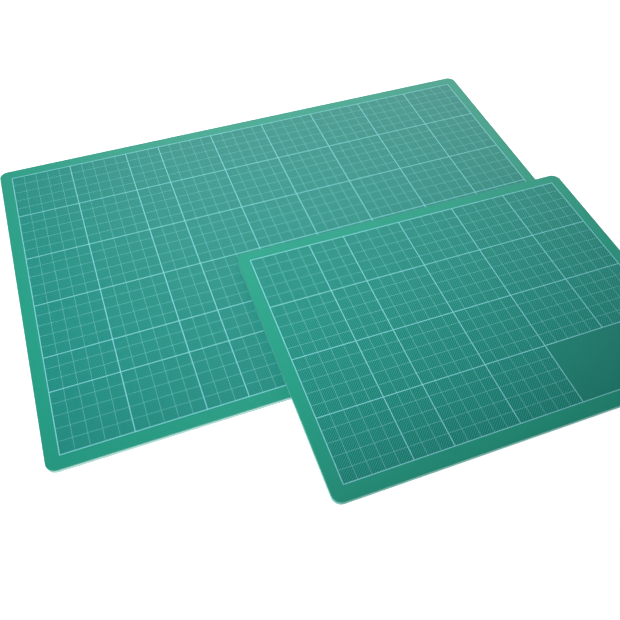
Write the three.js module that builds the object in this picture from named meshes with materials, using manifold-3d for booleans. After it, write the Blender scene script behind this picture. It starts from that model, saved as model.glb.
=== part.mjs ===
// Two craft cutting mats: a small mat lying on the front right corner of a large one.
// Each mat is a laminate of three PVC plies with rounded corners and a ruled grid printed on its top.
// Millimetres, +Z up, +Y towards the back. The origin is the middle of the large mat's underside.

import * as THREE from 'three';
import { mergeVertices } from 'three/addons/utils/BufferGeometryUtils.js';
import Module from 'manifold-3d';

const wasm = await Module();
wasm.setup();

// Outlines of the two mats
const LARGE_LENGTH = 450;
const LARGE_WIDTH = 300;
const SMALL_LENGTH = 300;
const SMALL_WIDTH = 220;
const CORNER_RADIUS = 7;
const CORNER_STEPS = 12;

// Plies of the laminate
const TOP_PLY = 1.0;
const CORE_PLY = 2.2;
const BASE_PLY = 0.8;

// Printed grid: a border and five centimetre squares
const MARGIN = 10;
const SQUARE = 50;
const LINE_WIDTH = 0.6;
const INK_THICKNESS = 0.05;
const CUT_OVERRUN = 1;

// Whole squares don't fill every side, so one narrow column or row takes what they leave over.
// Columns are counted from the left and rows from the back, starting at 0.
const LARGE_NARROW_COLUMN = 2;
const SMALL_NARROW_COLUMN = 1;
const NARROW_ROW = 4;

// The label panel is the bare end of the front row, this many columns long
const PANEL_COLUMNS = 2;

// How far each print lies off the middle of its mat, towards the back
const LARGE_PRINT_SHIFT = 0;
const SMALL_PRINT_SHIFT = 1;

// Place of the small mat's middle from the large mat's middle, its turn in degrees (clockwise from
// above when below 0) and the air left under it
const SMALL_SHIFT_X = 92;
const SMALL_SHIFT_Y = -125.7;
const SMALL_TURN = -0.35;
const AIR_GAP = 0.05;

// Finishes
const GREEN_PVC = new THREE.MeshStandardMaterial({ color: 0x199c84, roughness: 0.55, metalness: 0 });
const MILKY_PVC = new THREE.MeshStandardMaterial({ color: 0xb1d4cb, roughness: 0.5, metalness: 0 });
const PALE_PVC = new THREE.MeshStandardMaterial({ color: 0xaac8c1, roughness: 0.6, metalness: 0 });
const AQUA_INK = new THREE.MeshStandardMaterial({ color: 0x81dadf, roughness: 0.5, metalness: 0 });

// Die-cut outline of a mat: a rectangle about its middle with round corners
function matOutline(length, width) {
  const x = length / 2 - CORNER_RADIUS;
  const y = width / 2 - CORNER_RADIUS;
  const quarter = Math.PI / 2;
  const outline = new THREE.Shape();
  const corners = [[x, y], [-x, y], [-x, -y], [x, -y]];
  corners.forEach(([cornerX, cornerY], index) => {
    outline.absarc(cornerX, cornerY, CORNER_RADIUS, index * quarter, (index + 1) * quarter);
  });
  return outline;
}

// Flat sheet of the given outline, its underside at height z
function sheet(name, outline, thickness, z, material) {
  const geometry = new THREE.ExtrudeGeometry(outline, {
    depth: thickness,
    bevelEnabled: false,
    curveSegments: CORNER_STEPS,
  });
  const mesh = new THREE.Mesh(geometry, material);
  mesh.name = name;
  mesh.position.z = z;
  return mesh;
}

// Line positions along one side of a grid, from 0 to the side's full span
function ruledStops(span, narrowIndex) {
  const whole = Math.floor(span / SQUARE);
  const rest = span - whole * SQUARE;
  const widths = new Array(whole).fill(SQUARE);
  if (rest > LINE_WIDTH) {
    widths.splice(narrowIndex, 0, rest);
  } else {
    widths[whole - 1] += rest;
  }
  const stops = [0];
  widths.forEach((width) => stops.push(stops.at(-1) + width));
  return stops;
}

// Closed box between the given sides, as a solid that can be joined and cut
function boxSolid(left, right, front, back, bottom, top) {
  const box = new THREE.BoxGeometry(right - left, back - front, top - bottom);
  box.translate((left + right) / 2, (front + back) / 2, (bottom + top) / 2);
  box.deleteAttribute('normal');
  box.deleteAttribute('uv');
  const merged = mergeVertices(box);
  const surface = new wasm.Mesh({
    numProp: 3,
    vertProperties: merged.attributes.position.array,
    triVerts: new Uint32Array(merged.index.array),
  });
  return new wasm.Manifold(surface);
}

// Mesh geometry of a finished solid
function solidGeometry(solid) {
  const surface = solid.getMesh();
  const geometry = new THREE.BufferGeometry();
  geometry.setAttribute('position', new THREE.BufferAttribute(surface.vertProperties, 3));
  geometry.setIndex(new THREE.BufferAttribute(surface.triVerts, 1));
  geometry.computeVertexNormals();
  return geometry;
}

// Printed lattice of border and five centimetre lines: a film of ink, open over each square
function gridPrint(name, length, width, narrowColumn) {
  const spanX = length - 2 * MARGIN;
  const spanY = width - 2 * MARGIN;
  const columns = ruledStops(spanX, narrowColumn).map((stop) => stop - spanX / 2);
  const rows = ruledStops(spanY, NARROW_ROW).map((stop) => spanY / 2 - stop);
  const half = LINE_WIDTH / 2;
  const outerX = spanX / 2 + half;
  const outerY = spanY / 2 + half;
  let film = boxSolid(-outerX, outerX, -outerY, outerY, 0, INK_THICKNESS);
  const lastRow = rows.length - 2;
  const panelStart = columns.length - 1 - PANEL_COLUMNS;
  for (let row = 0; row <= lastRow; row += 1) {
    const lastColumn = row === lastRow ? panelStart : columns.length - 2;
    for (let column = 0; column <= lastColumn; column += 1) {
      const isPanel = row === lastRow && column === panelStart;
      const left = columns[column] + half;
      const right = (isPanel ? columns.at(-1) : columns[column + 1]) - half;
      const front = rows[row + 1] + half;
      const back = rows[row] - half;
      film = film.subtract(boxSolid(left, right, front, back, -CUT_OVERRUN, INK_THICKNESS + CUT_OVERRUN));
    }
  }
  const mesh = new THREE.Mesh(solidGeometry(film), AQUA_INK);
  mesh.name = name;
  return mesh;
}

// One mat, its underside at height 0: base, core and top ply, then the print
function mat(prefix, length, width, narrowColumn, printShift) {
  const outline = matOutline(length, width);
  const coreZ = BASE_PLY;
  const topZ = coreZ + CORE_PLY;
  const print = gridPrint(`${prefix}_grid_print`, length, width, narrowColumn);
  print.position.set(0, printShift, topZ + TOP_PLY);
  const group = new THREE.Group();
  group.add(
    sheet(`${prefix}_base_ply`, outline, BASE_PLY, 0, PALE_PVC),
    sheet(`${prefix}_core_ply`, outline, CORE_PLY, coreZ, MILKY_PVC),
    sheet(`${prefix}_top_ply`, outline, TOP_PLY, topZ, GREEN_PVC),
    print,
  );
  return group;
}

const largeMat = mat('large', LARGE_LENGTH, LARGE_WIDTH, LARGE_NARROW_COLUMN, LARGE_PRINT_SHIFT);

const smallMat = mat('small', SMALL_LENGTH, SMALL_WIDTH, SMALL_NARROW_COLUMN, SMALL_PRINT_SHIFT);
const matHeight = BASE_PLY + CORE_PLY + TOP_PLY + INK_THICKNESS;
smallMat.position.set(SMALL_SHIFT_X, SMALL_SHIFT_Y, matHeight + AIR_GAP);
smallMat.rotation.z = THREE.MathUtils.degToRad(SMALL_TURN);

const cuttingMats = new THREE.Group();
cuttingMats.add(largeMat, smallMat);

export default cuttingMats;
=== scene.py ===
"""Looks of two craft cutting mats, a small one lying on a large one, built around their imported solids."""

import math

import bmesh
import bpy
from mathutils import Matrix, Vector


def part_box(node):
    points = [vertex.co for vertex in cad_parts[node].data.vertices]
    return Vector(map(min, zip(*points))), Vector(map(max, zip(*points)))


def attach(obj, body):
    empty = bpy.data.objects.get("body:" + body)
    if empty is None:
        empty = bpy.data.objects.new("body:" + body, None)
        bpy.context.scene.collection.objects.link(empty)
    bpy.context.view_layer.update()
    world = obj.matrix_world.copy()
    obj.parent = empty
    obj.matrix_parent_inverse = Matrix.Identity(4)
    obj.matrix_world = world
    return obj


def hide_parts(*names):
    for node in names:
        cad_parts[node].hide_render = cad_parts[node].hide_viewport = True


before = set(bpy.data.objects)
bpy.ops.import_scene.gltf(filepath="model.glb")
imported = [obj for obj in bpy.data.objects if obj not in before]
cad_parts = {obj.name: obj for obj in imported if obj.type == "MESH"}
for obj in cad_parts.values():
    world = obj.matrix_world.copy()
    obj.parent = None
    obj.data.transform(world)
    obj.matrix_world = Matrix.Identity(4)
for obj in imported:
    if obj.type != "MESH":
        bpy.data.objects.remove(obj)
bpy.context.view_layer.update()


# Base plies
# The lowest sheet of each mat: a thin calendered PVC ply, pale green, with a matt emboss that grips
# the table. It is bonded to the core by heat and die-cut with it, which rounds its lower edge. On the
# small mat it is painted darker and greener, as painted shade and green bounce light from the large mat.

MATS = ("large", "small")
SAME_LINE = 0.00001
CORNER_STEPS = 12
EDGE_STEPS = 4
SEAM_BEVEL = 0.00006
BASE_EDGE_ROUND = 0.00022
# The small mat's darker, greener tones are painted shade and green bounce light on its edge.
PALE_GREEN_AND_PAINTED_SHADE = {"large": (0.48, 0.68, 0.65, 1.0), "small": (0.26, 0.60, 0.55, 1.0)}
PALE_GREEN_DULL_AND_PAINTED_SHADE = {"large": (0.43, 0.63, 0.60, 1.0), "small": (0.23, 0.56, 0.51, 1.0)}
PALE_ROUGHNESS = 0.62
CLOUDS_PER_METRE = 30
CLOUD_DETAIL = 3
PEBBLES_PER_METRE = 900
PEBBLE_DEPTH = 0.00008


def mat_place(mat):
    """Where a mat lies: the middle of its underside, and its turn from the front corners of its print."""
    low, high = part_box(f"{mat}_base_ply")
    middle = (low + high) / 2
    print_points = [vert.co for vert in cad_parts[f"{mat}_grid_print"].data.vertices]
    front_left = min(print_points, key=lambda point: point.x + point.y)
    front_right = max(print_points, key=lambda point: point.x - point.y)
    turn = math.atan2(front_right.y - front_left.y, front_right.x - front_left.x)
    return Matrix.Translation((middle.x, middle.y, low.z)) @ Matrix.Rotation(turn, 4, "Z")


def own_points(mat, piece):
    """Corners of one of a mat's solids in the mat's own axes: x along it, y to its back, z up."""
    to_own_axes = mat_place(mat).inverted()
    return [to_own_axes @ vert.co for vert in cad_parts[f"{mat}_{piece}"].data.vertices]


def own_box(mat, piece):
    """Lowest and highest corner of one of a mat's solids in the mat's own axes."""
    points = own_points(mat, piece)
    low = Vector([min(point[axis] for point in points) for axis in range(3)])
    high = Vector([max(point[axis] for point in points) for axis in range(3)])
    return low, high


def corner_radius(mat, piece):
    """Radius of a ply's round corners, read from where its straight back edge ends."""
    high = own_box(mat, piece)[1]
    back_edge = [point.x for point in own_points(mat, piece) if high.y - point.y < SAME_LINE]
    return high.x - max(back_edge)


def ply_outline(mat, piece, inset):
    """Points round a ply's die-cut outline, drawn in by inset: four arcs joined by straight sides."""
    low, high = own_box(mat, piece)
    radius = corner_radius(mat, piece)
    centres = (
        (high.x - radius, high.y - radius),
        (low.x + radius, high.y - radius),
        (low.x + radius, low.y + radius),
        (high.x - radius, low.y + radius),
    )
    points = []
    for quarter, (x, y) in enumerate(centres):
        for step in range(CORNER_STEPS + 1):
            turn = math.pi / 2 * (quarter + step / CORNER_STEPS)
            reach = radius - inset
            points.append((x + reach * math.cos(turn), y + reach * math.sin(turn)))
    return points


def edge_profile(thickness, low_round, high_round):
    """Inset and height of each ring up a ply's edge, from the rim of its underside to that of its top."""
    rings = []
    for step in range(EDGE_STEPS + 1):
        turn = math.pi / 2 * step / EDGE_STEPS
        rings.append((low_round * (1 - math.sin(turn)), low_round * (1 - math.cos(turn))))
    for step in range(EDGE_STEPS + 1):
        turn = math.pi / 2 * step / EDGE_STEPS
        rings.append((high_round * (1 - math.cos(turn)), thickness - high_round * (1 - math.sin(turn))))
    return rings


def start_ply(mat, piece, low_round, high_round):
    """Edge and underside of a ply as an open mesh, with the rim that its top face has to fill."""
    low, high = own_box(mat, piece)
    ply = bmesh.new()
    rims = []
    for inset, height in edge_profile(high.z - low.z, low_round, high_round):
        rims.append([ply.verts.new((x, y, low.z + height)) for x, y in ply_outline(mat, piece, inset)])
    for lower, upper in zip(rims, rims[1:]):
        for index, vert in enumerate(lower):
            after = (index + 1) % len(lower)
            side = ply.faces.new((vert, lower[after], upper[after], upper[index]))
            side.smooth = True
    ply.faces.new(reversed(rims[0]))
    return ply, rims[-1]


def finish_piece(mesh_in_making, mat, name, materials):
    """Turns a bmesh into an object that lies with its mat, with sharp edges round its flat faces."""
    for edge in mesh_in_making.edges:
        if not all(face.smooth for face in edge.link_faces):
            edge.smooth = False
    mesh_in_making.normal_update()
    mesh = bpy.data.meshes.new(f"{mat}_{name}")
    mesh_in_making.to_mesh(mesh)
    mesh_in_making.free()
    mesh.transform(mat_place(mat))
    for material in materials:
        mesh.materials.append(material)
    piece = bpy.data.objects.new(f"{mat}_{name}", mesh)
    bpy.context.scene.collection.objects.link(piece)
    return piece


def new_finish(name):
    """Plain material, with its node tree and its shader."""
    material = bpy.data.materials.new(name)
    material.use_nodes = True
    tree = material.node_tree
    return material, tree, tree.nodes["Principled BSDF"]


def own_coordinates(tree):
    """The object's own coordinates, in metres."""
    return tree.nodes.new("ShaderNodeTexCoord").outputs["Object"]


def add_noise(tree, coordinates, blotches_per_metre, detail):
    """Noise pattern with the given number of blotches to the metre."""
    noise = tree.nodes.new("ShaderNodeTexNoise")
    noise.inputs["Scale"].default_value = blotches_per_metre
    noise.inputs["Detail"].default_value = detail
    tree.links.new(coordinates, noise.inputs["Vector"])
    return noise.outputs["Fac"]


def add_two_tones(tree, pattern, first, second):
    """Colour that drifts from the first tone to the second with a pattern."""
    mix = tree.nodes.new("ShaderNodeMix")
    mix.data_type = "RGBA"
    mix.inputs["A"].default_value = first
    mix.inputs["B"].default_value = second
    tree.links.new(pattern, mix.inputs["Factor"])
    return mix.outputs["Result"]


def add_relief(tree, shader, pattern, depth):
    """Bumps of a real depth in metres on the surface."""
    bump = tree.nodes.new("ShaderNodeBump")
    bump.inputs["Distance"].default_value = depth
    tree.links.new(pattern, bump.inputs["Height"])
    tree.links.new(bump.outputs["Normal"], shader.inputs["Normal"])


def pale_pvc(mat):
    """Matt pale green PVC: faint cloudiness and a close emboss of small pebbles."""
    material, tree, shader = new_finish(f"{mat}_pale_pvc")
    shader.inputs["Roughness"].default_value = PALE_ROUGHNESS
    coordinates = own_coordinates(tree)
    clouds = add_noise(tree, coordinates, CLOUDS_PER_METRE, CLOUD_DETAIL)
    tones = add_two_tones(tree, clouds, PALE_GREEN_AND_PAINTED_SHADE[mat], PALE_GREEN_DULL_AND_PAINTED_SHADE[mat])
    tree.links.new(tones, shader.inputs["Base Color"])
    pebbles = tree.nodes.new("ShaderNodeTexVoronoi")
    pebbles.inputs["Scale"].default_value = PEBBLES_PER_METRE
    tree.links.new(coordinates, pebbles.inputs["Vector"])
    add_relief(tree, shader, pebbles.outputs["Distance"], PEBBLE_DEPTH)
    return material


for mat in MATS:
    base, rim = start_ply(mat, "base_ply", BASE_EDGE_ROUND, SEAM_BEVEL)
    base.faces.new(rim)
    base_ply = finish_piece(base, mat, "base_sheet", [pale_pvc(mat)])
    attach(base_ply, f"{mat}_mat")
    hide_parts(f"{mat}_base_ply")


# Core plies
# The middle sheet of each mat: stiff milky PVC that stops the blade and keeps the mat flat. Only its
# die-cut edge shows, with the faint upright drag marks of the cut: a pale line round the large mat, and
# round the small mat a darker, greener line whose colour is painted shade and green bounce light.

# The small mat's darker, greener tones are painted shade and green bounce light on its edge.
MILKY_AND_PAINTED_SHADE = {"large": (0.43, 0.72, 0.67, 1.0), "small": (0.165, 0.64, 0.55, 1.0)}
MILKY_STREAK_AND_PAINTED_SHADE = {"large": (0.38, 0.67, 0.62, 1.0), "small": (0.145, 0.59, 0.51, 1.0)}
MILKY_ROUGHNESS = 0.5
STREAKS_PER_METRE = 1400
STREAK_DETAIL = 2
STREAK_STRETCH = (1.0, 1.0, 0.05)
STREAK_DEPTH = 0.00003


def milky_pvc(mat):
    """Milky stiff PVC with a cut edge: fine streaks that stand upright, as the die left them."""
    material, tree, shader = new_finish(f"{mat}_milky_pvc")
    shader.inputs["Roughness"].default_value = MILKY_ROUGHNESS
    stretch = tree.nodes.new("ShaderNodeMapping")
    stretch.inputs["Scale"].default_value = STREAK_STRETCH
    tree.links.new(own_coordinates(tree), stretch.inputs["Vector"])
    streaks = add_noise(tree, stretch.outputs["Vector"], STREAKS_PER_METRE, STREAK_DETAIL)
    tones = add_two_tones(tree, streaks, MILKY_AND_PAINTED_SHADE[mat], MILKY_STREAK_AND_PAINTED_SHADE[mat])
    tree.links.new(tones, shader.inputs["Base Color"])
    add_relief(tree, shader, streaks, STREAK_DEPTH)
    return material


for mat in MATS:
    core, rim = start_ply(mat, "core_ply", SEAM_BEVEL, SEAM_BEVEL)
    core.faces.new(rim)
    core_ply = finish_piece(core, mat, "core_sheet", [milky_pvc(mat)])
    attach(core_ply, f"{mat}_mat")
    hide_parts(f"{mat}_core_ply")


# Top plies
# The cutting face: soft green PVC that closes up behind a blade, with a fine satin grain. A thin tint
# is printed inside the grid's border, a shade bluer than the bare margin; the label panel has it too. The
# small mat has a little less sheen, and its field tint and hatch are a shade less blue.

TOP_EDGE_ROUND = 0.0003
PANEL_COLUMNS = 2
MARGIN_GREEN = (0.0075, 0.335, 0.232, 1.0)
MARGIN_GREEN_DEEP = (0.0060, 0.312, 0.214, 1.0)
FIELD_GREEN = {"large": (0.0035, 0.214, 0.176, 1.0), "small": (0.0030, 0.215, 0.172, 1.0)}
FIELD_GREEN_DEEP = {"large": (0.0030, 0.200, 0.165, 1.0), "small": (0.0025, 0.201, 0.161, 1.0)}
PANEL_GREEN = (0.0035, 0.260, 0.199, 1.0)
PANEL_GREEN_DEEP = (0.0030, 0.243, 0.186, 1.0)
FIELD_PART = 1
PANEL_PART = 2
SHEEN = {"large": 0.50, "small": 0.40}
DRIFTS_PER_METRE = 18
DRIFT_DETAIL = 4
GRAINS_PER_METRE = 2600
GRAIN_DETAIL = 2
GRAIN_DEPTH = 0.00002
SMOOTHEST = 0.40
ROUGHEST = 0.54


def green_pvc(name, tone, deep_tone, sheen):
    """Satin green PVC: a slow drift in tone, a fine pebbled grain and a gloss that varies with it."""
    material, tree, shader = new_finish(name)
    shader.inputs["Specular IOR Level"].default_value = sheen
    coordinates = own_coordinates(tree)
    drift = add_noise(tree, coordinates, DRIFTS_PER_METRE, DRIFT_DETAIL)
    tones = add_two_tones(tree, drift, tone, deep_tone)
    tree.links.new(tones, shader.inputs["Base Color"])
    grain = add_noise(tree, coordinates, GRAINS_PER_METRE, GRAIN_DETAIL)
    gloss = tree.nodes.new("ShaderNodeMapRange")
    gloss.inputs["To Min"].default_value = SMOOTHEST
    gloss.inputs["To Max"].default_value = ROUGHEST
    tree.links.new(grain, gloss.inputs["Value"])
    tree.links.new(gloss.outputs["Result"], shader.inputs["Roughness"])
    add_relief(tree, shader, grain, GRAIN_DEPTH)
    return material


def line_edges(mat, axis):
    """Both edges of every wide line of a mat's print that crosses an axis (0 is x, 1 is y), in order."""
    edges = []
    for place in sorted(point[axis] for point in own_points(mat, "grid_print")):
        if not edges or place - edges[-1] > SAME_LINE:
            edges.append(place)
    return list(zip(edges[0::2], edges[1::2]))


def line_middles(mat, axis):
    """Middle of every wide line of a mat's print that crosses an axis, in order."""
    return [(low + high) / 2 for low, high in line_edges(mat, axis)]


def printed_field(mat):
    """Left, right, front and back of a mat's printed field, and the left and back of its label panel."""
    columns = line_middles(mat, 0)
    rows = line_middles(mat, 1)
    return columns[0], columns[-1], rows[0], rows[-1], columns[-1 - PANEL_COLUMNS], rows[1]


for mat in MATS:
    top_finishes = [
        green_pvc(f"{mat}_green_margin", MARGIN_GREEN, MARGIN_GREEN_DEEP, SHEEN[mat]),
        green_pvc(f"{mat}_green_field", FIELD_GREEN[mat], FIELD_GREEN_DEEP[mat], SHEEN[mat]),
        green_pvc(f"{mat}_green_panel", PANEL_GREEN, PANEL_GREEN_DEEP, SHEEN[mat]),
    ]
    top, rim = start_ply(mat, "top_ply", SEAM_BEVEL, TOP_EDGE_ROUND)
    left, right, front, back, panel_left, panel_back = printed_field(mat)
    xs = (left, panel_left, right)
    ys = (front, panel_back, back)
    height = own_box(mat, "top_ply")[1].z
    field = [[top.verts.new((x, y, height)) for x in xs] for y in ys]
    for row in range(2):
        for column in range(2):
            cell = top.faces.new((
                field[row][column],
                field[row][column + 1],
                field[row + 1][column + 1],
                field[row + 1][column],
            ))
            is_panel = row == 0 and column == 1
            cell.material_index = PANEL_PART if is_panel else FIELD_PART
    # The margin keeps the first finish: a fan at each round corner and a flat strip along each side
    field_corners = (field[2][2], field[2][0], field[0][0], field[0][2])
    side_middles = (field[2][1], field[1][0], field[0][1], field[1][2])
    for quarter in range(4):
        first = quarter * (CORNER_STEPS + 1)
        last = first + CORNER_STEPS
        for index in range(first, last):
            top.faces.new((field_corners[quarter], rim[index], rim[index + 1]))
        top.faces.new((
            field_corners[quarter],
            rim[last],
            rim[(last + 1) % len(rim)],
            field_corners[(quarter + 1) % 4],
            side_middles[quarter],
        ))
    top_ply = finish_piece(top, mat, "top_sheet", top_finishes)
    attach(top_ply, f"{mat}_mat")
    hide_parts(f"{mat}_top_ply")


# Hatch
# Fine slanting lines that fill the printed field, two millimetres apart along both sides. They are
# screen-printed first, in a thinned ink, and run under the ruled lines, set off from the border's back
# left corner by chance. The label panel has none.

HATCH_PITCH = 0.002
HATCH_OFFSET = {"large": 0.0004, "small": 0.0014}
HATCH_WIDTH = 0.00035
HATCH_FILM = 0.00002
HATCH_TONE = {"large": (0.014, 0.440, 0.368, 1.0), "small": (0.010, 0.440, 0.360, 1.0)}
HATCH_TONE_THIN = {"large": (0.010, 0.410, 0.343, 1.0), "small": (0.008, 0.410, 0.335, 1.0)}
HATCH_ROUGHNESS = 0.48
FILM_BLOTCHES_PER_METRE = 420
FILM_DETAIL = 3
FILM_UNEVENNESS = 0.00001


def print_ink(name, tone, thin_tone, roughness):
    """Screen-printed ink: the film is a little thicker here and thinner there, which shifts its tone."""
    material, tree, shader = new_finish(name)
    shader.inputs["Roughness"].default_value = roughness
    film = add_noise(tree, own_coordinates(tree), FILM_BLOTCHES_PER_METRE, FILM_DETAIL)
    tones = add_two_tones(tree, film, tone, thin_tone)
    tree.links.new(tones, shader.inputs["Base Color"])
    add_relief(tree, shader, film, FILM_UNEVENNESS)
    return material


def add_film(ink, corners, low, high):
    """Closed film of ink over flat corners that go round anticlockwise, from height low to height high."""
    lower = [ink.verts.new((x, y, low)) for x, y in corners]
    upper = [ink.verts.new((x, y, high)) for x, y in corners]
    ink.faces.new(upper)
    ink.faces.new(reversed(lower))
    for index, vert in enumerate(lower):
        after = (index + 1) % len(lower)
        ink.faces.new((vert, lower[after], upper[after], upper[index]))


def slanting_run(shift, left, right, front, back):
    """Ends of the line y = x + shift inside a rectangle, or None where it misses."""
    start = max(left, front - shift)
    end = min(right, back - shift)
    if end <= start:
        return None
    return (start, start + shift), (end, end + shift)


for mat in MATS:
    hatch_finish = print_ink(f"{mat}_hatch_ink", HATCH_TONE[mat], HATCH_TONE_THIN[mat], HATCH_ROUGHNESS)
    left, right, front, back, panel_left, panel_back = printed_field(mat)
    height = own_box(mat, "top_ply")[1].z
    areas = ((left, right, panel_back, back), (left, panel_left, front, panel_back))
    half_shift = HATCH_WIDTH / math.sqrt(2)
    first_shift = back - left - HATCH_OFFSET[mat]
    count = math.ceil((right - left + back - front) / HATCH_PITCH)
    hatch = bmesh.new()
    for area in areas:
        for number in range(count):
            shift = first_shift - number * HATCH_PITCH
            lower = slanting_run(shift - half_shift, *area)
            upper = slanting_run(shift + half_shift, *area)
            if lower and upper:
                add_film(hatch, (lower[0], lower[1], upper[1], upper[0]), height, height + HATCH_FILM)
    hatch_print = finish_piece(hatch, mat, "hatch_print", [hatch_finish])
    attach(hatch_print, f"{mat}_mat")


# Centimetre lines
# The fine ruling, one line to the centimetre between the wide lines, in the same aqua ink but drawn
# thinner. It is printed over the hatch and stops at the wide lines.

FINE_PITCH = 0.01
FINE_WIDTH = 0.00017
FINE_FILM = 0.000035
AQUA = (0.235, 0.722, 0.784, 1.0)
AQUA_THIN = (0.205, 0.662, 0.724, 1.0)
AQUA_ROUGHNESS = 0.45


def fine_stops(low_line, high_line):
    """Edges of one opening between two wide lines, with both edges of each centimetre line between them."""
    start = sum(low_line) / 2
    end = sum(high_line) / 2
    stops = [low_line[1]]
    count = round((end - start) / FINE_PITCH)
    for number in range(1, count):
        middle = start + number * FINE_PITCH
        stops += [middle - FINE_WIDTH / 2, middle + FINE_WIDTH / 2]
    return stops + [high_line[0]]


def add_ruling(ink, xs, ys, low, high):
    """Closed lattice of ink on every second strip between the stops, both ways; no faces cross."""
    corners = {}

    def corner(column, row, z):
        key = (column, row, z)
        if key not in corners:
            corners[key] = ink.verts.new((xs[column], ys[row], z))
        return corners[key]

    def inked(column, row):
        inside = 0 <= column < len(xs) - 1 and 0 <= row < len(ys) - 1
        return inside and (column % 2 == 1 or row % 2 == 1)

    for column in range(len(xs) - 1):
        for row in range(len(ys) - 1):
            if not inked(column, row):
                continue
            ring = ((column, row), (column + 1, row), (column + 1, row + 1), (column, row + 1))
            beside = ((column, row - 1), (column + 1, row), (column, row + 1), (column - 1, row))
            ink.faces.new([corner(x, y, high) for x, y in ring])
            ink.faces.new([corner(x, y, low) for x, y in reversed(ring)])
            for side, neighbour in enumerate(beside):
                if not inked(*neighbour):
                    start, end = ring[side], ring[(side + 1) % 4]
                    ink.faces.new((
                        corner(*start, low),
                        corner(*end, low),
                        corner(*end, high),
                        corner(*start, high),
                    ))


aqua_finish = print_ink("aqua_ink", AQUA, AQUA_THIN, AQUA_ROUGHNESS)
for mat in MATS:
    columns = line_edges(mat, 0)
    rows = line_edges(mat, 1)
    height = own_box(mat, "top_ply")[1].z
    ruling = bmesh.new()
    for row in range(len(rows) - 1):
        for column in range(len(columns) - 1):
            is_panel = row == 0 and column >= len(columns) - 1 - PANEL_COLUMNS
            if not is_panel:
                xs = fine_stops(columns[column], columns[column + 1])
                ys = fine_stops(rows[row], rows[row + 1])
                add_ruling(ruling, xs, ys, height, height + FINE_FILM)
    ruling_print = finish_piece(ruling, mat, "centimetre_print", [aqua_finish])
    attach(ruling_print, f"{mat}_mat")


# Wide lines
# The border and the five centimetre lines, a lattice of thicker aqua ink printed on each top ply. The
# solid has its true shape already, so it stays and only takes the ink's finish.

for mat in MATS:
    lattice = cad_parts[f"{mat}_grid_print"]
    lattice.data.materials.clear()
    lattice.data.materials.append(aqua_finish)


# Floor
# A plain white studio floor, painted matt. The camera and gloss see it lifted towards white, so that the
# background is even, while the mats still darken it where they keep the light off.

FLOOR_HALF = 12.0
FLOOR_DROP = 0.00005
FLOOR_LIFT = 0.74
FLOOR_WHITE = (0.82, 0.82, 0.82, 1.0)
FLOOR_SEEN = (0.80, 0.80, 0.80, 1.0)
FLOOR_GLOW = (1.0, 1.0, 1.0, 1.0)
FLOOR_ROUGHNESS = 0.9

floor_mesh = bpy.data.meshes.new("floor")
floor_corners = (
    (-FLOOR_HALF, -FLOOR_HALF),
    (FLOOR_HALF, -FLOOR_HALF),
    (FLOOR_HALF, FLOOR_HALF),
    (-FLOOR_HALF, FLOOR_HALF),
)
floor_mesh.from_pydata([(x, y, -FLOOR_DROP) for x, y in floor_corners], [], [(0, 1, 2, 3)])
floor = bpy.data.objects.new("floor", floor_mesh)
bpy.context.scene.collection.objects.link(floor)

floor_finish, tree, shader = new_finish("white_floor")
shader.inputs["Roughness"].default_value = FLOOR_ROUGHNESS
shader.inputs["Emission Color"].default_value = FLOOR_GLOW
light_path = tree.nodes.new("ShaderNodeLightPath")
seen = tree.nodes.new("ShaderNodeMath")
seen.operation = "MAXIMUM"
tree.links.new(light_path.outputs["Is Camera Ray"], seen.inputs[0])
tree.links.new(light_path.outputs["Is Glossy Ray"], seen.inputs[1])
seen_through = tree.nodes.new("ShaderNodeMath")
seen_through.operation = "MAXIMUM"
tree.links.new(seen.outputs[0], seen_through.inputs[0])
tree.links.new(light_path.outputs["Is Transmission Ray"], seen_through.inputs[1])
floor_tone = add_two_tones(tree, seen_through.outputs[0], FLOOR_WHITE, FLOOR_SEEN)
tree.links.new(floor_tone, shader.inputs["Base Color"])
lift = tree.nodes.new("ShaderNodeMath")
lift.operation = "MULTIPLY"
lift.inputs[1].default_value = FLOOR_LIFT
tree.links.new(seen_through.outputs[0], lift.inputs[0])
tree.links.new(lift.outputs[0], shader.inputs["Emission Strength"])
floor_mesh.materials.append(floor_finish)


# Studio light
# A room that is pale at eye level and dark overhead, a soft lamp just above the camera that is turned up
# so that the near side gets only its edge, a low panel on the left for the edges that face it, and a
# broad panel behind that leaves the sheen at the back.

ROOM_LOW = (0.86, 0.86, 0.86, 1.0)
ROOM_HIGH = (0.03, 0.03, 0.03, 1.0)
ROOM_LOW_HEIGHT = 0.18
ROOM_HIGH_HEIGHT = 0.68

world = bpy.data.worlds.new("studio")
bpy.context.scene.world = world
world.use_nodes = True
sky_tree = world.node_tree
background = sky_tree.nodes["Background"]
direction = sky_tree.nodes.new("ShaderNodeTexCoord").outputs["Generated"]
parts = sky_tree.nodes.new("ShaderNodeSeparateXYZ")
sky_tree.links.new(direction, parts.inputs["Vector"])
rise = sky_tree.nodes.new("ShaderNodeMapRange")
rise.inputs["From Min"].default_value = ROOM_LOW_HEIGHT
rise.inputs["From Max"].default_value = ROOM_HIGH_HEIGHT
sky_tree.links.new(parts.outputs["Z"], rise.inputs["Value"])
room_tone = add_two_tones(sky_tree, rise.outputs["Result"], ROOM_LOW, ROOM_HIGH)
sky_tree.links.new(room_tone, background.inputs["Color"])


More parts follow.
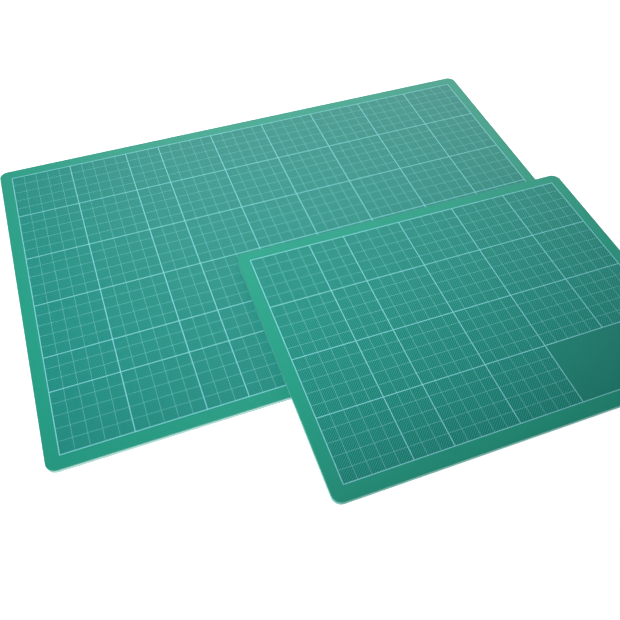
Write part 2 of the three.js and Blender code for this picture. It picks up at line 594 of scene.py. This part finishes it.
def add_soft_lamp(name, place, aim, width, height, power, spread):
    """Rectangular soft lamp at a place, turned to face a point, its light held to a spread in degrees."""
    lamp = bpy.data.lights.new(name, "AREA")
    lamp.shape = "RECTANGLE"
    lamp.size = width
    lamp.size_y = height
    lamp.energy = power
    lamp.spread = math.radians(spread)
    holder = bpy.data.objects.new(name, lamp)
    holder.location = place
    holder.rotation_euler = (Vector(aim) - Vector(place)).to_track_quat("-Z", "Y").to_euler()
    holder.visible_camera = False
    bpy.context.scene.collection.objects.link(holder)


add_soft_lamp(
    "key_lamp",
    place=(-0.071, -0.387, 0.558),
    aim=(0.006, 2.50, 0.0),
    width=0.20,
    height=0.20,
    power=5.13,
    spread=140,
)
add_soft_lamp(
    "left_panel",
    place=(-0.85, -0.30, 0.22),
    aim=(-0.05, -0.10, 0.0),
    width=0.50,
    height=0.30,
    power=2.09,
    spread=180,
)
add_soft_lamp(
    "back_panel",
    place=(0.572, 0.798, 0.42),
    aim=(0.60, 0.0, 0.0),
    width=1.46,
    height=0.88,
    power=5.33,
    spread=180,
)


# Camera
# Where the photograph was taken from: above the front left, with the lens and slight lean that make
# both printed grids fall on their places in a square picture.

CAMERA_PLACE = (-0.1395, -0.3790, 0.42704)
CAMERA_LOOK_DOWN = 52.950
CAMERA_HEADING = 22.235
CAMERA_LEAN = 2.150
FOCAL_PIXELS = 692.93
PICTURE_PIXELS = 620
SENSOR_WIDTH = 36.0
NEAREST_SEEN = 0.01

camera_lens = bpy.data.cameras.new("camera")
camera_lens.sensor_width = SENSOR_WIDTH
camera_lens.lens = FOCAL_PIXELS / PICTURE_PIXELS * SENSOR_WIDTH
camera_lens.clip_start = NEAREST_SEEN
camera = bpy.data.objects.new("camera", camera_lens)
heading = Matrix.Rotation(math.radians(-CAMERA_HEADING), 4, "Z")
tilt = Matrix.Rotation(math.radians(90 - CAMERA_LOOK_DOWN), 4, "X")
lean = Matrix.Rotation(math.radians(CAMERA_LEAN), 4, "Z")
camera.matrix_world = Matrix.Translation(CAMERA_PLACE) @ heading @ tilt @ lean
bpy.context.scene.collection.objects.link(camera)
bpy.context.scene.camera = camera
bpy.context.scene.view_settings.view_transform = "Standard"
